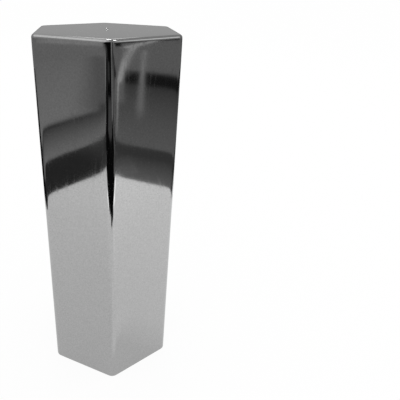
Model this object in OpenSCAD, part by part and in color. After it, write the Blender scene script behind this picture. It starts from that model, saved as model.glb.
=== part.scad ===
// Tall hexagonal push-on cover for a wheel nut, moulded in one piece.
// It stands on its open mouth at z = 0 with the closed end up.
// An upright edge points to the front, along -Y. All sizes are in millimetres.

/* [Wheel nut] */
// Across flats of the nut that the cover pushes over
nut_af = 33; // [27:1:41]
// Play between each flat of the nut and the socket wall
nut_play = 0.25; // [0.1:0.05:0.6]

/* [Shell] */
// Height from the mouth to the closed end
cap_h = 108; // [40:1:140]
// Thickness of the six side walls at the mouth
side_t = 2.25; // [1.6:0.05:3.5]
// Thickness of the closed end
end_t = 2.5; // [1.8:0.1:4]
// Radius of the six upright outer edges
edge_r = 2.5; // [1.4:0.1:4]
// Radius where the outer sides turn into the closed end
rim_r = 0.9; // [0.3:0.1:1.2]

/* [Socket] */
// Draft of the socket walls in degrees, which lets the moulding core pull out
core_draft = 0.25; // [0:0.05:0.5]
// Radius of the six upright inner corners at the closed end
socket_edge_r = 0.7; // [0.6:0.1:1.5]
// Radius where the socket walls turn into its end
socket_end_r = 0.5; // [0.2:0.1:0.5]
// Width and height of the lead-in chamfer at the mouth
lead_in = 0.8; // [0.3:0.1:1.2]

/* [Retention bumps] */
// Height of the bump centres above the mouth
bump_z = 4; // [3:0.5:12]
// Width of each bump where it meets the socket wall
bump_w = 2.4; // [1.6:0.1:3]
// How far each bump stands out of the socket wall
bump_proud = 0.5; // [0.3:0.05:0.7]

/* [Gate mark] */
// Width of the low round mark in the middle of the closed end
gate_w = 1.3; // [0.8:0.1:3]
// How far the mark stands out of the closed end
gate_proud = 0.3; // [0.1:0.05:0.4]

/* [Hidden] */
$fn = 48;
sides = 6;
step_a = 360 / sides;
front_a = -90;
below_mouth = 1;
socket_flat = nut_af / 2 + nut_play;
outer_flat = socket_flat + side_t;
socket_depth = cap_h - end_t;
socket_mouth_r = socket_edge_r + socket_depth * tan(core_draft);

// Distance from the middle of the hexagon to the centre of each rounded corner
function corner_reach(flat, r) = (flat - r) / cos(step_a / 2);

// Radius of a sphere whose cap has the given width and height
function cap_sphere_r(width, height) = (width * width / 4 + height * height) / (2 * height);

// Half section of an upright wall, measured outwards from the axis of a corner.
// Its side leans in by the draft, and a quarter circle rounds its top edge.
module wall_section(foot_r, h, top_r, draft) {
    arc_z = h - top_r;
    arc_x = foot_r - arc_z * tan(draft) - top_r / cos(draft);
    polygon([
        [0, 0],
        [foot_r, 0],
        [arc_x + top_r * cos(draft), arc_z + top_r * sin(draft)],
        [arc_x, h],
        [0, h]
    ]);
    translate([arc_x, arc_z])
        intersection() {
            circle(r = top_r);
            square(top_r);
        }
}

// Half section of the lead-in at the mouth. It starts below the mouth, so it cuts the rim cleanly,
// and ends on the drafted socket wall.
module lead_in_section() {
    polygon([
        [0, -below_mouth],
        [socket_mouth_r + lead_in, -below_mouth],
        [socket_mouth_r + lead_in, 0],
        [socket_mouth_r - lead_in * tan(core_draft), lead_in],
        [0, lead_in]
    ]);
}

// Solid hexagon with rounded upright edges: the half section is turned about the axis
// of each corner, and flat sides and ends stretch between the corners.
module hexagon_from_section(reach) {
    hull()
        for (i = [0 : sides - 1])
            rotate([0, 0, front_a + i * step_a])
                translate([reach, 0, 0])
                    rotate_extrude() children();
}

// Outside of the cover
module outer_form() {
    hexagon_from_section(corner_reach(outer_flat, edge_r))
        wall_section(edge_r, cap_h, rim_r, 0);
}

// Hollow that takes the nut, open through the mouth
module socket_form() {
    reach = corner_reach(socket_flat, socket_mouth_r);
    hexagon_from_section(reach) wall_section(socket_mouth_r, socket_depth, socket_end_r, core_draft);
    hexagon_from_section(reach) lead_in_section();
}

// One round bump in the middle of each socket wall, which grips the nut
module retention_bumps() {
    bump_r = cap_sphere_r(bump_w, bump_proud);
    for (i = [0 : sides - 1])
        rotate([0, 0, front_a + (i + 0.5) * step_a])
            translate([socket_flat - bump_proud + bump_r, 0, bump_z])
                sphere(r = bump_r);
}

// Round mark that the trimmed and plated gate leaves on the closed end, rooted in the end wall
module gate_mark() {
    gate_r = cap_sphere_r(gate_w, gate_proud);
    root = end_t / 2;
    translate([0, 0, cap_h])
        intersection() {
            translate([0, 0, gate_proud - gate_r]) sphere(r = gate_r);
            translate([0, 0, -root]) cylinder(d = 2 * gate_w, h = root + 2 * gate_proud);
        }
}

module cap() {
    color("silver") {
        difference() {
            outer_form();
            difference() {
                socket_form();
                retention_bumps();
            }
        }
        gate_mark();
    }
}

cap();
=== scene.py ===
"""Chrome push-on cover for a wheel nut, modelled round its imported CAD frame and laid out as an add-on."""

import math

import bmesh
import bpy
from bpy.props import FloatProperty, FloatVectorProperty, PointerProperty
from mathutils import Matrix, Vector


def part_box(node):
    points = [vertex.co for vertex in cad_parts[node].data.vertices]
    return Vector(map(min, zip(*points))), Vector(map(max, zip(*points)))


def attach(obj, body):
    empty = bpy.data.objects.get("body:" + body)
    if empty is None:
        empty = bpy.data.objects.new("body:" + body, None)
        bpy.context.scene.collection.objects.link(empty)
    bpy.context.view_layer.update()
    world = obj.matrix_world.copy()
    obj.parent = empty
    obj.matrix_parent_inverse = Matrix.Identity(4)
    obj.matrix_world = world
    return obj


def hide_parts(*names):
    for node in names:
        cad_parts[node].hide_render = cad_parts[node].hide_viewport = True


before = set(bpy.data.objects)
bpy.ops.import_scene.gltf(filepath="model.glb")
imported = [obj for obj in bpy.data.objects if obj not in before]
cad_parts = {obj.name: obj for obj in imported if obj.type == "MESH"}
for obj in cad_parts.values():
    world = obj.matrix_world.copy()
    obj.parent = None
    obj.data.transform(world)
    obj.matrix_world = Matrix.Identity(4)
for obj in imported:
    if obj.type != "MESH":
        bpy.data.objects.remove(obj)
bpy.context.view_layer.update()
CAP_LOW, CAP_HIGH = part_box("cap")

bl_info = {
    "name": "Wheel Nut Cover",
    "version": (1, 0, 0),
    "blender": (4, 5, 0),
    "location": "3D View > Sidebar > Nut Cover",
    "description": "Builds a chrome hexagonal cover for a wheel nut and the table that it stands on",
    "category": "Add Mesh",
}

MM = 0.001
SIDES = 6
STEP_A = math.tau / SIDES
HALF_A = STEP_A / 2
FRONT_A = -math.pi / 2
UP = Vector((0, 0, 1))

# Fineness of the meshes
ARC_STEPS = 16
SIDE_CUTS = 47
WALL_ROWS = 56
FILLET_STEPS = 8
END_ROWS = 8
SOCKET_ROWS = 8
BUMP_CELLS = 8
DOME_STEPS = 6
MERGE_DIST = 1e-7
SHARP_A = math.radians(32)

# Share of the closed end's half width that its soft rings take up
END_SHARE = 1 / 3
# Flat ring round the gate mark, and the flat land inside the socket's rounded end
GATE_FOOT = 0.5 * MM
SOCKET_LAND = 0.1 * MM
# Width of the wall patch that a retention bump replaces, as a share of the bump's own width
BUMP_PATCH_SHARE = 1.25

# The driving sizes that the frame gives. The gate mark is the highest point of the cap.
GATE_PROUD = 0.3 * MM
HEIGHT = CAP_HIGH.z - GATE_PROUD
ACROSS_FLATS = CAP_HIGH.x - CAP_LOW.x
EDGE_SHARE = 1 / math.cos(HALF_A)
EDGE_R = (ACROSS_FLATS / 2 * EDGE_SHARE - CAP_HIGH.y) / (EDGE_SHARE - 1)


def length(name, description, default, **more):
    """A property that holds a length in metres and shows it in the scene's units."""
    return FloatProperty(
        name=name, description=description, default=default, min=0.0, precision=5, unit="LENGTH", **more
    )


def angle(name, description, degrees):
    """A property that holds an angle, with its default given in degrees."""
    return FloatProperty(name=name, description=description, default=math.radians(degrees), subtype="ANGLE")


def grey(name, description, default):
    """A property that holds how bright a card looks, from 0, black, to 1, white."""
    return FloatProperty(name=name, description=description, default=default, min=0.0, soft_max=1.0)


class NutCoverSizes(bpy.types.PropertyGroup):
    """Sizes of the cover."""

    across_flats: length("Across flats", "Width of the cover across two flat sides", ACROSS_FLATS)
    height: length("Height", "Height from the mouth to the closed end", HEIGHT)
    edge_r: length("Edge radius", "Radius of the six upright outer edges", EDGE_R)
    rim_r: length("End radius", "Radius where the sides turn into the closed end", 0.9 * MM)
    mouth_break: length("Mouth break", "Width of the dulled outer edge at the mouth", 0.12 * MM)
    side_t: length("Side wall", "Thickness of the side walls at the mouth", 2.25 * MM)
    end_t: length("End wall", "Thickness of the closed end", 2.5 * MM)
    core_draft: angle("Draft", "Lean of the socket walls, which lets the moulding core pull out", 0.25)
    socket_edge_r: length("Socket corner", "Radius of the inner corners at the closed end", 0.7 * MM)
    socket_end_r: length("Socket end", "Radius where the socket walls turn into its end", 0.5 * MM)
    lead_in: length("Lead-in", "Width and height of the chamfer inside the mouth", 0.8 * MM)
    bump_z: length("Bump height", "Height of the retention bumps above the mouth", 4 * MM)
    bump_w: length("Bump width", "Width of a retention bump where it meets the wall", 2.4 * MM)
    bump_proud: length("Bump stand", "How far a retention bump stands out of the wall", 0.5 * MM)
    gate_w: length("Gate mark", "Width of the low round mark in the middle of the closed end", 1.3 * MM)
    gate_proud: length("Gate stand", "How far the mark stands out of the closed end", GATE_PROUD)
    soft_reach: length("Edge softness", "How far the plating's softness reaches from an edge", 1.0 * MM)
    soft_tilt: angle("Edge tilt", "How much the flats have turned where they meet an edge", 1.3)


class NutCoverFinish(bpy.types.PropertyGroup):
    """Colours and texture of the plating."""

    chrome: FloatVectorProperty(
        name="Chrome",
        description="Colour of the bright plating",
        subtype="COLOR",
        size=3,
        default=(0.50, 0.50, 0.50),
        min=0.0,
        max=1.0,
    )
    inner_chrome: FloatVectorProperty(
        name="Socket chrome",
        description="Colour of the thinner plating in the socket",
        subtype="COLOR",
        size=3,
        default=(0.40, 0.40, 0.40),
        min=0.0,
        max=1.0,
    )
    polish: FloatProperty(
        name="Polish", description="Roughness of the bright plating", default=0.045, min=0.0, max=1.0
    )
    peel_size: length("Peel size", "Distance between the soft ripples of the plating", 1.4 * MM)
    peel_depth: length("Peel depth", "Depth of the soft ripples of the plating", 0.0010 * MM)


class NutCoverStage(bpy.types.PropertyGroup):
    """The table, the glowing cards that paint the chrome's reflections, and the camera."""

    sheet_left: length("Sheet left", "Reach of the white sheet to the left of the cover", 136 * MM)
    sheet_right: length("Sheet right", "Reach of the white sheet to the right of the cover", 140 * MM)
    sheet_front: length("Sheet front", "Reach of the white sheet in front of the cover", 125 * MM)
    sheet_back: length("Sheet back", "Reach of the white sheet behind the cover", 85 * MM)
    border: length("Border", "Width of the near-black strip beside the sheet", 56 * MM)
    border_tone: grey("Border tone", "Brightness of the near-black strip beside the sheet", 0.055)
    table_tone: grey("Table tone", "Brightness of the dark table beyond the strip", 0.17)
    wall_tone: grey("Wall tone", "Brightness of the wall behind the cover", 0.37)
    camera_place: FloatVectorProperty(
        name="Camera place",
        description="Where the camera stands",
        subtype="TRANSLATION",
        unit="LENGTH",
        size=3,
        default=(-3.89 * MM, -117.12 * MM, 119.50 * MM),
    )
    camera_heading: angle("Heading", "Turn of the camera to the right", 5.698)
    camera_pitch: angle("Pitch", "Tilt of the camera down from level", 24.986)
    camera_roll: angle("Roll", "Roll of the camera about its own axis", 0.976)


# Shapes


def polar(radius, angle, z=0.0):
    """Point at a distance and an angle from the upright axis."""
    return Vector((radius * math.cos(angle), radius * math.sin(angle), z))


def facing_side(co):
    """Middle direction of the hexagon's side that a point belongs to, and the direction along that side."""
    side = round((math.atan2(co.y, co.x) - FRONT_A) / STEP_A - 0.5) % SIDES
    facing = polar(1.0, FRONT_A + (side + 0.5) * STEP_A)
    return facing, UP.cross(facing)


def outward(co, core_flat):
    """Direction square to the outline of a rounded hexagon at a point on it.

    core_flat is the half width of the sharp hexagon that joins the centres of its rounded corners.
    """
    facing, along = facing_side(co)
    half_side = core_flat * math.tan(HALF_A)
    nearest = facing * core_flat + along * max(-half_side, min(half_side, co.dot(along)))
    return (Vector((co.x, co.y, 0.0)) - nearest).normalized()


def verts_in(geom):
    """The vertices in what a bmesh operator gives back."""
    return [g for g in geom if isinstance(g, bmesh.types.BMVert)]


def edges_in(geom):
    """The edges in what a bmesh operator gives back."""
    return [g for g in geom if isinstance(g, bmesh.types.BMEdge)]


def verts_of(edges):
    """The vertices that some edges use, each once."""
    return list({v for e in edges for v in e.verts})


def draw_outline(bm, core_flat, corner_r, z):
    """Draw a rounded hexagon as a closed ring of edges, with arcs turned about its corners."""
    before = set(bm.edges)
    reach = core_flat * EDGE_SHARE
    start = polar(reach, FRONT_A, z) + polar(corner_r, FRONT_A - HALF_A)
    pen = bmesh.ops.create_vert(bm, co=start)["vert"][0]
    sides = []
    for i in range(SIDES):
        angle = FRONT_A + i * STEP_A
        arc = bmesh.ops.spin(
            bm, geom=[pen], cent=polar(reach, angle, z), axis=UP, angle=STEP_A, steps=ARC_STEPS
        )
        run = bmesh.ops.extrude_vert_indiv(bm, verts=verts_in(arc["geom_last"]))
        pen = run["verts"][0]
        pen.co = polar(reach, angle + STEP_A, z) + polar(corner_r, angle + HALF_A)
        sides += run["edges"]
    bmesh.ops.subdivide_edges(bm, edges=sides, cuts=SIDE_CUTS)
    drawn = [e for e in bm.edges if e not in before]
    bmesh.ops.remove_doubles(bm, verts=verts_of(drawn), dist=MERGE_DIST)
    return [e for e in bm.edges if e not in before]


def extrude_ring(bm, ring):
    """Extrude a ring of edges in place, and return its new vertices and the new ring."""
    made = bmesh.ops.extrude_edge_only(bm, edges=ring)["geom"]
    fresh = verts_in(made)
    inside = set(fresh)
    return fresh, [e for e in edges_in(made) if inside.issuperset(e.verts)]


def raise_ring(bm, ring, core_flat, rise, draw_in):
    """Extrude a ring of edges upwards while it draws in evenly, and return the new ring."""
    fresh, ring = extrude_ring(bm, ring)
    for v in fresh:
        v.co -= outward(v.co, core_flat) * draw_in
        v.co.z += rise
    return ring


def shrink_ring(bm, ring, share, rise):
    """Extrude a ring of edges upwards while it shrinks about the upright axis, and return the new ring."""
    fresh, ring = extrude_ring(bm, ring)
    bmesh.ops.scale(bm, vec=(share, share, 1.0), verts=fresh)
    bmesh.ops.translate(bm, vec=UP * rise, verts=fresh)
    return ring


def raise_rows(bm, ring, core_flat, low, high, rows, lean):
    """Raise a wall in even rows between two heights, drawn in by its lean."""
    rise = (high - low) / rows
    for _ in range(rows):
        ring = raise_ring(bm, ring, core_flat, rise, rise * lean)
    return ring


def soften_sides(ring, core_flat, tilt, reach):
    """Draw a ring in near its corners, so that each flat turns softly into the rounded edge."""
    half_side = core_flat * math.tan(HALF_A)
    for v in verts_of(ring):
        from_edge = max(0.0, half_side - abs(v.co.dot(facing_side(v.co)[1])))
        v.co -= outward(v.co, core_flat) * tilt * reach * math.exp(-from_edge / reach)


def quarter_turn(bm, ring, core_flat, radius, steps):
    """Turn a ring inwards over a quarter circle, from upright to level."""
    for i in range(steps):
        low, high = (math.pi / 2 * k / steps for k in (i, i + 1))
        rise = radius * (math.sin(high) - math.sin(low))
        draw_in = radius * (math.cos(low) - math.cos(high))
        ring = raise_ring(bm, ring, core_flat, rise, draw_in)
    return ring


def raise_closed_end(bm, ring, half_end, depth, reach):
    """Carry the closed end inwards from its rim in rings that rise softly, closer together near the rim."""
    steps = [half_end * END_SHARE * (k / END_ROWS) ** 2 for k in range(END_ROWS + 1)]
    for outer, inner in zip(steps, steps[1:]):
        rise = depth * (math.exp(-outer / reach) - math.exp(-inner / reach))
        ring = shrink_ring(bm, ring, (half_end - inner) / (half_end - outer), rise)
    return ring


def raise_outer_wall(bm, s):
    """Outer sides and the rim of the closed end. Returns the ring at the mouth and the one on the end."""
    core_flat = s.across_flats / 2 - s.edge_r
    mouth = draw_outline(bm, core_flat, s.edge_r - s.mouth_break, 0.0)
    soften_sides(mouth, core_flat, math.tan(s.soft_tilt), s.soft_reach)
    ring = raise_ring(bm, mouth, core_flat, s.mouth_break, -s.mouth_break)
    # Near the closed end the sides and the end both turn softly, twice as far as beside the upright edges
    reach = 2 * s.soft_reach
    depth = math.tan(s.soft_tilt) * reach
    low, top = s.mouth_break, s.height - depth - s.rim_r
    heights = [low + (top - low) * (1 - math.cos(math.pi * k / WALL_ROWS)) / 2 for k in range(WALL_ROWS + 1)]
    for z, z_next in zip(heights, heights[1:]):
        draw_in = depth * (math.exp((z_next - top) / reach) - math.exp((z - top) / reach))
        ring = raise_ring(bm, ring, core_flat, z_next - z, draw_in)
    ring = quarter_turn(bm, ring, core_flat, s.rim_r, FILLET_STEPS)
    return mouth, raise_closed_end(bm, ring, s.across_flats / 2 - depth - s.rim_r, depth, reach)


def dome_profile(width, height, foot):
    """Half section of a low dome from its rim to its top, on a flat foot ring round it."""
    ball_r = (width**2 / 4 + height**2) / (2 * height)
    spread = math.acos((ball_r - height) / ball_r)
    turns = [spread * (1 - k / DOME_STEPS) for k in range(DOME_STEPS + 1)]
    arc = [Vector((ball_r * math.sin(a), 0.0, ball_r * math.cos(a) - ball_r + height)) for a in turns]
    return [Vector((width / 2 + foot, 0.0, 0.0)), *arc] if foot else arc


def spin_profile(bm, points, steps):
    """Draw a chain of edges through some points and spin it once round the upright axis."""
    pen = bmesh.ops.create_vert(bm, co=points[0])["vert"][0]
    chain = [pen]
    for point in points[1:]:
        run = bmesh.ops.extrude_vert_indiv(bm, verts=[pen])
        pen = run["verts"][0]
        pen.co = point
        chain += [pen, *run["edges"]]
    before = set(bm.verts) - set(chain)
    bmesh.ops.spin(bm, geom=chain, cent=(0, 0, 0), axis=UP, angle=math.tau, steps=steps, use_merge=True)
    made = [v for v in bm.verts if v not in before]
    bmesh.ops.remove_doubles(bm, verts=made, dist=MERGE_DIST)
    return [v for v in bm.verts if v not in before]


def open_ring(verts):
    """The edges of a patch that belong to one face only."""
    return list({e for v in verts for e in v.link_edges if len(e.link_faces) == 1})


def in_turn(verts, cent, axis):
    """Sort vertices by their angle about an axis."""
    across = axis.orthogonal().normalized()
    aside = axis.cross(across)
    return sorted(verts, key=lambda v: math.atan2((v.co - cent).dot(aside), (v.co - cent).dot(across)))


def join_rings(bm, ring, other, cent, axis):
    """Fill the gap between two rings of equal count that go round one axis."""
    fresh = verts_in(bmesh.ops.extrude_edge_only(bm, edges=ring)["geom"])
    others = verts_of(other)
    for v, target in zip(in_turn(fresh, cent, axis), in_turn(others, cent, axis)):
        v.co = target.co
    bmesh.ops.remove_doubles(bm, verts=fresh + others, dist=MERGE_DIST)


def add_gate_mark(bm, s, land):
    """Set the gate mark into the middle of the closed end."""
    mark = spin_profile(bm, dome_profile(s.gate_w, s.gate_proud, GATE_FOOT), len(land))
    bmesh.ops.translate(bm, vec=UP * s.height, verts=mark)
    join_rings(bm, land, open_ring(mark), Vector(), UP)


def bump_patch(s):
    """Half width of the square patch of the socket wall that a retention bump takes up."""
    return BUMP_PATCH_SHARE * s.bump_w / 2


def raise_socket(bm, s):
    """Socket walls and the socket's end. Returns the ring at the mouth and the faces level with the bumps."""
    lean = math.tan(s.core_draft)
    depth = s.height - s.end_t
    mouth_r = s.socket_edge_r + depth * lean
    core_flat = s.across_flats / 2 - s.side_t - mouth_r
    mouth = draw_outline(bm, core_flat, mouth_r + s.lead_in, 0.0)
    ring = raise_ring(bm, mouth, core_flat, s.lead_in, s.lead_in * (1 + lean))
    low, high = s.bump_z - bump_patch(s), s.bump_z + bump_patch(s)
    ring = raise_rows(bm, ring, core_flat, s.lead_in, low, 1, lean)
    before = set(bm.faces)
    ring = raise_rows(bm, ring, core_flat, low, high, BUMP_CELLS, lean)
    belt = [f for f in bm.faces if f not in before]
    ring = raise_rows(bm, ring, core_flat, high, depth - s.socket_end_r, SOCKET_ROWS, lean)
    ring = quarter_turn(bm, ring, core_flat, s.socket_end_r, FILLET_STEPS)
    ring = raise_ring(bm, ring, core_flat, 0.0, SOCKET_LAND)
    bmesh.ops.contextual_create(bm, geom=ring)
    return mouth, belt


def add_retention_bumps(bm, s, belt):
    """Replace a patch in the middle of each socket wall by a round bump."""
    lean = math.tan(s.core_draft)
    wall = s.across_flats / 2 - s.side_t - s.bump_z * lean
    arc = dome_profile(s.bump_w, s.bump_proud - s.bump_z * lean, 0.0)
    patches = {}
    for f in belt:
        middle = f.calc_center_median()
        facing, along = facing_side(middle)
        if abs(middle.dot(along)) < bump_patch(s):
            patches.setdefault(facing.freeze(), []).append(f)
    for facing, patch in patches.items():
        cut = set(patch)
        rim = [e for e in {e for f in patch for e in f.edges} if sum(f in cut for f in e.link_faces) == 1]
        bmesh.ops.delete(bm, geom=patch, context="FACES")
        dome = spin_profile(bm, arc, len(rim))
        upright = Matrix((UP.cross(facing), UP, -facing)).transposed().to_4x4()
        middle = facing * wall + UP * s.bump_z
        bmesh.ops.transform(bm, matrix=Matrix.Translation(middle) @ upright, verts=dome)
        join_rings(bm, rim, open_ring(dome), middle, facing)


def finish_mesh(bm, name):
    """Point the faces outwards, mark the crisp edges, and make the mesh."""
    bmesh.ops.recalc_face_normals(bm, faces=bm.faces)
    for f in bm.faces:
        f.smooth = True
    for e in bm.edges:
        if len(e.link_faces) == 2 and e.calc_face_angle() > SHARP_A:
            e.smooth = False
    mesh = bpy.data.meshes.new(name)
    bm.to_mesh(mesh)
    bm.free()
    return mesh


# Finishes


class Wiring:
    """A material's node tree, with short ways to add the nodes that the finishes use."""

    def __init__(self, name):
        self.material = bpy.data.materials.new(name)
        self.material.use_nodes = True
        self.tree = self.material.node_tree
        self.tree.nodes.clear()
        self.out = self.node("ShaderNodeOutputMaterial")

    def node(self, kind, **values):
        made = self.tree.nodes.new(kind)
        for key, value in values.items():
            setattr(made, key, value)
        return made

    def link(self, source, target):
        self.tree.links.new(source, target)

    def feed(self, node, inputs):
        for key, value in inputs.items():
            if isinstance(value, bpy.types.NodeSocket):
                self.link(value, node.inputs[key])
            else:
                node.inputs[key].default_value = value
        return node

    def place(self):
        return self.node("ShaderNodeTexCoord").outputs["Object"]

    def stretched(self, place, scale, turn=(0, 0, 0)):
        made = self.feed(self.node("ShaderNodeMapping"), {"Vector": place, "Scale": scale, "Rotation": turn})
        return made.outputs["Vector"]

    def noise(self, place, size, detail=2.0, roughness=0.5):
        made = self.node("ShaderNodeTexNoise")
        self.feed(made, {"Vector": place, "Scale": 1 / size, "Detail": detail, "Roughness": roughness})
        return made.outputs["Fac"]

    def remap(self, value, low, high, to_low, to_high, smooth=False):
        made = self.node("ShaderNodeMapRange", interpolation_type="SMOOTHSTEP" if smooth else "LINEAR")
        self.feed(made, {"Value": value, 1: low, 2: high, 3: to_low, 4: to_high})
        return made.outputs["Result"]

    def math(self, operation, *values):
        made = self.node("ShaderNodeMath", operation=operation)
        self.feed(made, dict(enumerate(values)))
        return made.outputs["Value"]

    def blend(self, share, first, second):
        made = self.feed(self.node("ShaderNodeMix", data_type="FLOAT"), {0: share, 2: first, 3: second})
        return made.outputs[0]

    def bump(self, height, distance, normal=None):
        made = self.feed(self.node("ShaderNodeBump"), {"Height": height, "Distance": distance})
        if normal is not None:
            self.link(normal, made.inputs["Normal"])
        return made.outputs["Normal"]


def hairlines(w, place, size, run, turn):
    """Thin faint lines that run one way, where a stretched noise passes its middle value."""
    field = w.noise(w.stretched(place, (1.0, 1.0, size / run), turn), size, detail=1.0)
    off_middle = w.math("ABSOLUTE", w.math("SUBTRACT", field, 0.5))
    return w.remap(off_middle, 0.0, 0.012, 1.0, 0.0)


def bright_plating(finish):
    """Mirror chrome with soft ripples, faint wiping lines and a trace of haze."""
    w = Wiring("Bright chrome plating")
    place = w.place()
    shader = w.node("ShaderNodeBsdfPrincipled")
    haze = w.noise(place, 12 * MM, detail=4.0, roughness=0.6)
    grain = w.noise(place, 0.45 * MM, detail=2.0, roughness=0.7)
    lines = w.math(
        "MAXIMUM",
        hairlines(w, place, 5 * MM, 60 * MM, (0.3, 0.2, 0.0)),
        hairlines(w, place, 6 * MM, 45 * MM, (-0.5, 0.4, 0.3)),
    )
    tone = w.remap(grain, 0.3, 0.7, 0.90, 1.10)
    tinted = w.node("ShaderNodeMix", data_type="RGBA", blend_type="MULTIPLY")
    w.feed(tinted, {0: 1.0, 6: (*finish.chrome, 1.0), 7: tone})
    dull = w.remap(haze, 0.35, 0.75, finish.polish, finish.polish * 1.6)
    dull = w.math("ADD", dull, w.math("MULTIPLY", lines, 0.03))
    ripples = w.noise(place, finish.peel_size, detail=2.0)
    normal = w.bump(ripples, finish.peel_depth)
    waves = w.noise(place, 9 * MM, detail=1.0)
    normal = w.bump(waves, 0.006 * MM, normal)
    w.feed(shader, {"Base Color": tinted.outputs[2], "Metallic": 1.0, "Roughness": dull, "Normal": normal})
    w.link(shader.outputs["BSDF"], w.out.inputs["Surface"])
    return w.material


def socket_plating(finish):
    """Thinner and duller chrome on the socket walls, with the marks of the moulding core."""
    w = Wiring("Socket plating")
    place = w.place()
    shader = w.node("ShaderNodeBsdfPrincipled")
    haze = w.noise(place, 7 * MM, detail=4.0, roughness=0.6)
    drag = w.noise(w.stretched(place, (1.0, 1.0, 0.02)), 0.35 * MM, detail=2.0)
    tone = w.remap(haze, 0.3, 0.7, 0.85, 1.08)
    tinted = w.node("ShaderNodeMix", data_type="RGBA", blend_type="MULTIPLY")
    w.feed(tinted, {0: 1.0, 6: (*finish.inner_chrome, 1.0), 7: tone})
    dull = w.remap(haze, 0.3, 0.7, 0.16, 0.26)
    normal = w.bump(drag, 0.002 * MM)
    w.feed(shader, {"Base Color": tinted.outputs[2], "Metallic": 1.0, "Roughness": dull, "Normal": normal})
    w.link(shader.outputs["BSDF"], w.out.inputs["Surface"])
    return w.material


# How much of the floor glows: plain white to the camera, and with painted shade in the chrome; the rest is
# paper that takes shadow
CAMERA_WHITE = 0.94
MIRROR_WHITE = 0.85
PAPER_TONE = 0.9


def white_floor():
    """Pale floor that looks white to the camera and keeps a soft shadow; in the chrome it glows with painted
    shade, greyer near the cover and paler outwards.
    """
    w = Wiring("White floor")
    place = w.place()
    parts = w.feed(w.node("ShaderNodeSeparateXYZ"), {"Vector": place}).outputs
    away = w.feed(w.node("ShaderNodeVectorMath", operation="LENGTH"), {0: place}).outputs["Value"]
    seen = w.node("ShaderNodeLightPath")
    mirrored = w.math("MAXIMUM", seen.outputs["Is Glossy Ray"], seen.outputs["Is Transmission Ray"])
    # Painted shade in the chrome: the floor's mirrored glow is greyer under the cover's sides, where its
    # shade would fall, and painted paler to the right and in front
    pale = w.remap(away, 30 * MM, 140 * MM, 0.70, 0.80)
    for axis, start, end, at_start, at_end in (
        ("X", 14 * MM, 30 * MM, 0.0, 0.12),
        ("X", 30 * MM, 140 * MM, 0.0, 0.06),
        ("Y", -100 * MM, -50 * MM, 0.08, 0.0),
    ):
        pale = w.math("ADD", pale, w.remap(parts[axis], start, end, at_start, at_end))
    # The glow is plain white to the camera and takes the painted shade tone in the chrome
    white = w.feed(w.node("ShaderNodeEmission"), {"Strength": w.blend(mirrored, 1.0, pale)})
    paper = w.feed(w.node("ShaderNodeBsdfDiffuse"), {"Color": (PAPER_TONE, PAPER_TONE, PAPER_TONE, 1.0)})
    plain = w.math("MULTIPLY", seen.outputs["Is Camera Ray"], CAMERA_WHITE)
    plain = w.math("MAXIMUM", plain, w.math("MULTIPLY", mirrored, MIRROR_WHITE))
    mixed = w.feed(w.node("ShaderNodeMixShader"), {0: plain, 1: paper.outputs[0], 2: white.outputs[0]})
    w.link(mixed.outputs[0], w.out.inputs["Surface"])
    w.material.cycles.emission_sampling = "NONE"
    return w.material


def card_finish(name, tones, soft):
    """Card that glows from one tone at its start to another at its end, with edges that fade out, to paint a
    reflection into the chrome.
    """
    w = Wiring(name)
    parts = w.feed(w.node("ShaderNodeSeparateXYZ"), {"Vector": w.place()})
    tone = w.remap(parts.outputs["X"], -0.5, 0.5, *tones)
    glow = w.feed(w.node("ShaderNodeEmission"), {"Color": tone, "Strength": 1.0})
    shader = glow
    if any(soft):
        cover = 1.0
        for axis, share in zip("XY", soft):
            if share:
                off = w.math("ABSOLUTE", parts.outputs[axis])
                cover = w.math("MULTIPLY", cover, w.remap(off, 0.5 - share, 0.5, 1.0, 0.0, smooth=True))
        clear = w.node("ShaderNodeBsdfTransparent")
        shader = w.feed(w.node("ShaderNodeMixShader"), {0: cover, 1: clear.outputs[0], 2: glow.outputs[0]})
    w.link(shader.outputs[0], w.out.inputs["Surface"])
    w.material.cycles.emission_sampling = "NONE"
    return w.material


# Stage


def stage_object(name, bm, material, mirrored_only=False):
    """Put a mesh into the scene as part of the stage, shown to the camera or only in the chrome."""
    mesh = bpy.data.meshes.new(name)
    bm.to_mesh(mesh)
    bm.free()
    mesh.materials.append(material)
    obj = bpy.data.objects.new(name, mesh)
    bpy.context.scene.collection.objects.link(obj)
    if mirrored_only:
        obj.visible_camera = False
        obj.visible_diffuse = False
        obj.visible_shadow = False
        obj.visible_transmission = False
    return obj


# Gap between layers of cards, and reach of the cards that go on past what the chrome can show, in millimetres
LAYER_GAP = 0.1
FAR = 2400
WIDE = 2 * FAR

# Tone of the black cards that paint dark reflections into the chrome
BLACK = 0.004

# Half width of the floor and radius of the room, in metres
FLOOR_HALF = 6.0
ROOM_R = 2.5


def card(name, centre, size, tone, soft=(0, 0), turn=0.0, standing=False):
    """Glowing card that only the chrome mirrors, where it paints a reflection. Centre, size and soft edges
    are in millimetres.

    A pair of tones runs from one to the other along the card.
    """
    tones = tone if isinstance(tone, tuple) else (tone, tone)
    shares = tuple(min(0.5, edge / side) for edge, side in zip(soft, size))
    bm = bmesh.new()
    bmesh.ops.create_grid(bm, x_segments=1, y_segments=1, size=0.5)
    obj = stage_object(name, bm, card_finish(name, tones, shares), mirrored_only=True)
    upright = Matrix.Rotation(math.pi / 2, 4, "X") if standing else Matrix.Identity(4)
    scale = Matrix.Diagonal((size[0] * MM, size[1] * MM, 1.0, 1.0))
    heading = Matrix.Rotation(math.radians(turn), 4, "Z")
    obj.matrix_world = Matrix.Translation(Vector(centre) * MM) @ heading @ upright @ scale
    return obj


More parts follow.
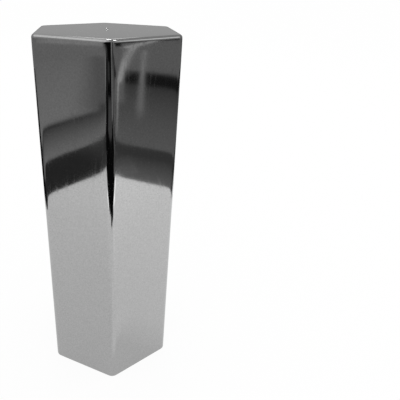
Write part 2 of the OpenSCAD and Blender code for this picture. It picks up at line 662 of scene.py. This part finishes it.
def lay(name, layer, start, heading, run, width, tone, soft=(0, 0)):
    """Lay a card on the table from a point, along a heading in degrees. Higher layers lie on lower ones.

    The start is in millimetres from the middle of the cover, +X to the right and +Y to the back.
    """
    middle = Vector((*start, 0.0)) + polar(run / 2, math.radians(heading))
    return card(name, (middle.x, middle.y, LAYER_GAP * layer), (run, width), tone, soft, heading)


def lay_floor():
    """Floor that the cover stands on."""
    bm = bmesh.new()
    bmesh.ops.create_grid(bm, x_segments=1, y_segments=1, size=FLOOR_HALF)
    return stage_object("floor", bm, white_floor())


def lay_table(g):
    """Glowing dark cards, seen only in the chrome, that paint the dark table in front of the white sheet and
    behind it into its reflections.
    """
    lay("front_table", 1, (0, -g.sheet_front / MM), -90, FAR, WIDE, BLACK)
    lay("back_table", 2, (0, g.sheet_back / MM), 90, FAR, WIDE, BLACK)
    lay("back_floor", 3, (0, 450), 90, FAR, WIDE, 0.12, (100, 0))


def lay_left_cards(g):
    """Painted reflections and shade in the left face: glowing cards for a dark strip beside the sheet, and
    the grey table with a dark line in it.
    """
    left = -g.sheet_left / MM
    grey_start = (-242, -92)
    lay("left_strip", 2, (left, -82), 170, FAR, WIDE, 0.03)
    lay("left_strip_front", 3, (left - 4, -160), 170, 80, 110, 0.06, (0, 35))
    lay("left_far", 4, grey_start, 165, FAR, WIDE, 0.205, (16, 0))
    lay("left_mid", 5, grey_start, 165, 300, WIDE, (0.26, 0.205), (16, 0))
    lay("left_shade", 6, (-230, -177), 211, 450, 110, 0.14, (60, 40))
    lay("left_near", 7, (-187, -107), 165, 55, 500, (0.25, 0.07))
    lay("left_bend", 8, (-250, -180), 214, 56, 34, 0.07, (26, 16))
    lay("left_end", 8, (-860, -480), 209, 700, 420, 0.32, (60, 160))
    lay("left_dark", 9, (-94, 62), 153, 440, 160, BLACK, (20, 10))


def lay_right_cards(g):
    """Painted reflections and shade in the right face: glowing cards for a dark strip beside the sheet, and
    the grey table with a black band in it.
    """
    right = g.sheet_right / MM
    edge_tones = (0.17, g.border_tone)
    lay("right_strip", 2, (right, 0), 0, FAR, WIDE, g.border_tone)
    lay("right_strip_edge", 3, (right, 0), 0, 40, 500, edge_tones)
    lay("right_corner", 4, (124, -115), -38, 37, 90, edge_tones)
    lay("right_near", 3, (right + g.border / MM, 0), 0, 200, WIDE, (0.162, 0.058), (3, 0))
    lay("right_far", 3, (470, 0), 0, FAR, WIDE, g.table_tone, (30, 0))
    lay("right_band", 4, (388, -15), 0, 92, 430, 0.012, (22, 7))
    lay("right_fore", 5, (278, -204), -26, 250, 100, 0.17, (30, 8))
    lay("right_end", 5, (1100, -440), -22, 1300, 900, 0.01, (60, 60))
    lay("right_end_front", 5, (850, -480), -29.5, 500, 80, 0.01, (30, 12))
    lay("right_dark", 5, (126, 35), 0, 50, 70, BLACK, (5, 10))


def lay_streaks():
    """Painted reflections: glowing pale streaks that fan out on the right, and the end of the black band in
    front of them.
    """
    lay("streak_head", 6, (803, -408), -10.6, 400, 50, 0.45, (12, 8))
    lay("streak_outer", 7, (372, -217), -21.35, 555, 23, 0.47, (45, 7))
    lay("streak_near", 8, (195, -129), -26.3, 262, 9, (0.22, 0.50), (30, 3))
    lay("band_front", 6, (379, -286), -37, 95, 120, BLACK, (20, 20))
    lay("streak_inner", 6, (246, -121.5), -22.65, 570, 11, (0.24, 0.40), (70, 5))


def lay_front_cards():
    """Painted reflections in the rounded front edge: painted highlights at the sheet's rims, its paler front,
    and greys beyond it.
    """
    # Painted highlights: cards at the sheet's rims that glow brighter than white
    lay("rim_highlight_left", 5, (-54, -121), 170, 52, 12, 1.9, (14, 4))
    lay("rim_highlight_right", 5, (62, -118), 14, 78, 15, 1.9, (12, 4))
    lay("front_glow", 5, (16, -26), -90, 92, 44, 0.84, (6, 14))
    lay("front_notch", 6, (25, -111), -90, 28, 62, BLACK, (4, 8))
    lay("front_side", 10, (-120, -150), -128, 640, 130, BLACK, (30, 40))
    lay("front_band", 11, (-20, -238), -90, 145, 230, 0.075, (15, 40))
    lay("front_line", 12, (118, -262), -80, 400, 105, 0.20, (20, 20))


def stand_front_cards():
    """Painted reflections of the dark side of the room in front of the cover: glowing standing cards, with a
    paler upright and a low pale patch in it.
    """
    card("front_dark", (-185, -450, 250), (950, 500), BLACK, (20, 60), standing=True)
    card("front_post", (145, -440, 250), (140, 500), 0.23, (25, 60), standing=True)
    card("front_haze", (-95, -440, 18), (120, 36), 0.06, (25, 8), standing=True)


# Painted highlights and painted shade in the chrome: the room glows, and these patches glow brighter or
# darker
# Patches of the room's walls and ceiling that are brighter or darker than the rest:
# azimuth, elevation, half width of the full patch and of its faded edge in degrees, and tone
ROOM_PATCHES = (
    (178, 49, 18, 32, 0.90),
    (-10, 30, 8, 16, 0.85),
    (-34, 4, 7, 12, 0.04),
    (88.5, 22, 4, 8, 2.0),
)


def room_finish(g):
    """Glowing walls and ceiling that paint the chrome's reflections: the wall behind is dark low down, and
    patches of painted highlight and shade stand out.
    """
    w = Wiring("Room walls")
    ray = w.feed(w.node("ShaderNodeVectorMath", operation="NORMALIZE"), {0: w.place()}).outputs["Vector"]
    parts = w.feed(w.node("ShaderNodeSeparateXYZ"), {"Vector": ray}).outputs
    tone = w.remap(parts["X"], -0.7, 0.7, 0.34, 0.24, smooth=True)
    wall = w.remap(parts["Z"], 0.05, 0.13, 0.2, g.wall_tone, smooth=True)
    tone = w.blend(w.remap(parts["Y"], 0.5, 0.95, 0.0, 1.0, smooth=True), tone, wall)
    ceiling = w.remap(parts["X"], -0.3, 0.3, 0.55, 0.33, smooth=True)
    tone = w.blend(w.remap(parts["Z"], 0.3, 0.8, 0.0, 1.0, smooth=True), tone, ceiling)
    for azimuth, elevation, full, faded, level in ROOM_PATCHES:
        rise = math.radians(elevation)
        middle = polar(math.cos(rise), math.radians(azimuth), math.sin(rise))
        near = w.feed(w.node("ShaderNodeVectorMath", operation="DOT_PRODUCT"), {0: ray, 1: middle})
        near, far = near.outputs["Value"], math.cos(math.radians(faded))
        tone = w.blend(w.remap(near, far, math.cos(math.radians(full)), 0.0, 1.0, smooth=True), tone, level)
    glow = w.feed(w.node("ShaderNodeEmission"), {"Color": tone, "Strength": 1.0})
    w.link(glow.outputs[0], w.out.inputs["Surface"])
    w.material.cycles.emission_sampling = "NONE"
    return w.material


def raise_room(g):
    """Round glowing room about the stage, seen only in the chrome, where it paints the reflections."""
    bm = bmesh.new()
    bmesh.ops.create_uvsphere(bm, u_segments=48, v_segments=24, radius=ROOM_R)
    return stage_object("room", bm, room_finish(g), mirrored_only=True)


def hang_lamp(name, azimuth, elevation, distance, side, power):
    """Soft square lamp that faces the cover from an azimuth and elevation in degrees.

    Its distance and its side are in metres, and its power in watts.
    """
    data = bpy.data.lights.new(name, "AREA")
    data.size = side
    data.energy = power
    lamp = bpy.data.objects.new(name, data)
    aim = Vector((0, 0, CAP_HIGH.z / 2))
    rise = math.radians(elevation)
    away = polar(math.cos(rise), math.radians(azimuth), math.sin(rise)) * distance
    lamp.rotation_euler = (-away).to_track_quat("-Z", "Y").to_euler()
    lamp.location = aim + away
    bpy.context.scene.collection.objects.link(lamp)
    return lamp


def light_world():
    """Plain white surround."""
    world = bpy.data.worlds.new("Studio")
    world.use_nodes = True
    background = world.node_tree.nodes["Background"]
    background.inputs["Color"].default_value = (1.0, 1.0, 1.0, 1.0)
    background.inputs["Strength"].default_value = 1.0
    bpy.context.scene.world = world


# Camera framing of the photo: its focal length and its centre, as shares of the picture's width
FOCAL_SHARE = 409.044 / 400
CENTRE_SHARE_X = 132.824 / 400
CENTRE_SHARE_Y = 173.615 / 400


def set_camera(g):
    """Camera at the photo's place and angle."""
    data = bpy.data.cameras.new("Camera")
    data.sensor_width = 36.0
    data.lens = FOCAL_SHARE * data.sensor_width
    data.shift_x = 0.5 - CENTRE_SHARE_X
    data.shift_y = CENTRE_SHARE_Y - 0.5
    data.clip_start = 0.01
    data.clip_end = 30.0
    camera = bpy.data.objects.new("Camera", data)
    turn = Matrix.Rotation(-g.camera_heading, 4, "Z") @ Matrix.Rotation(math.pi / 2 - g.camera_pitch, 4, "X")
    camera.matrix_world = (
        Matrix.Translation(g.camera_place) @ turn @ Matrix.Rotation(g.camera_roll, 4, "Z")
    )
    bpy.context.scene.collection.objects.link(camera)
    bpy.context.scene.camera = camera


# Operators and panel


class NUTCOVER_OT_shell(bpy.types.Operator):
    """Build the plated cover in place of its CAD solid"""

    bl_idname = "nutcover.shell"
    bl_label = "Build Cover"
    bl_options = {"REGISTER", "UNDO"}

    def execute(self, context):
        sizes, finish = context.scene.nut_cover_sizes, context.scene.nut_cover_finish
        bm = bmesh.new()
        mouth, land = raise_outer_wall(bm, sizes)
        add_gate_mark(bm, sizes, land)
        outer_faces = set(bm.faces)
        socket_mouth, belt = raise_socket(bm, sizes)
        add_retention_bumps(bm, sizes, belt)
        for f in bm.faces:
            f.material_index = 0 if f in outer_faces else 1
        join_rings(bm, mouth, socket_mouth, Vector(), UP)
        mesh = finish_mesh(bm, "cap_shell")
        mesh.materials.append(bright_plating(finish))
        mesh.materials.append(socket_plating(finish))
        shell = bpy.data.objects.new("cap_shell", mesh)
        context.scene.collection.objects.link(shell)
        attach(shell, "root")
        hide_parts("cap")
        return {"FINISHED"}


class NUTCOVER_OT_stage(bpy.types.Operator):
    """Lay the table, set the lamps and point the camera"""

    bl_idname = "nutcover.stage"
    bl_label = "Set Stage"
    bl_options = {"REGISTER", "UNDO"}

    def execute(self, context):
        stage = context.scene.nut_cover_stage
        lay_floor()
        lay_table(stage)
        lay_left_cards(stage)
        lay_right_cards(stage)
        lay_streaks()
        lay_front_cards()
        stand_front_cards()
        raise_room(stage)
        hang_lamp("left_lamp", azimuth=90, elevation=46, distance=0.9, side=0.12, power=0.5)
        hang_lamp("right_lamp", azimuth=15, elevation=63, distance=0.9, side=0.10, power=0.5)
        light_world()
        set_camera(stage)
        context.scene.view_settings.view_transform = "Standard"
        return {"FINISHED"}


class NUTCOVER_PT_panel(bpy.types.Panel):
    """Sizes, finish and stage of the wheel nut cover"""

    bl_idname = "NUTCOVER_PT_panel"
    bl_label = "Wheel Nut Cover"
    bl_space_type = "VIEW_3D"
    bl_region_type = "UI"
    bl_category = "Nut Cover"

    def draw(self, context):
        for group, operator in (
            (context.scene.nut_cover_sizes, "nutcover.shell"),
            (context.scene.nut_cover_finish, None),
            (context.scene.nut_cover_stage, "nutcover.stage"),
        ):
            box = self.layout.box()
            for name in group.__annotations__:
                box.prop(group, name)
            if operator:
                box.operator(operator)


CLASSES = (
    NutCoverSizes,
    NutCoverFinish,
    NutCoverStage,
    NUTCOVER_OT_shell,
    NUTCOVER_OT_stage,
    NUTCOVER_PT_panel,
)


def register():
    for cls in CLASSES:
        bpy.utils.register_class(cls)
    bpy.types.Scene.nut_cover_sizes = PointerProperty(type=NutCoverSizes)
    bpy.types.Scene.nut_cover_finish = PointerProperty(type=NutCoverFinish)
    bpy.types.Scene.nut_cover_stage = PointerProperty(type=NutCoverStage)


def unregister():
    del bpy.types.Scene.nut_cover_stage
    del bpy.types.Scene.nut_cover_finish
    del bpy.types.Scene.nut_cover_sizes
    for cls in reversed(CLASSES):
        bpy.utils.unregister_class(cls)


def main():
    register()
    bpy.ops.nutcover.shell()
    bpy.ops.nutcover.stage()


if __name__ == "__main__":
    main()
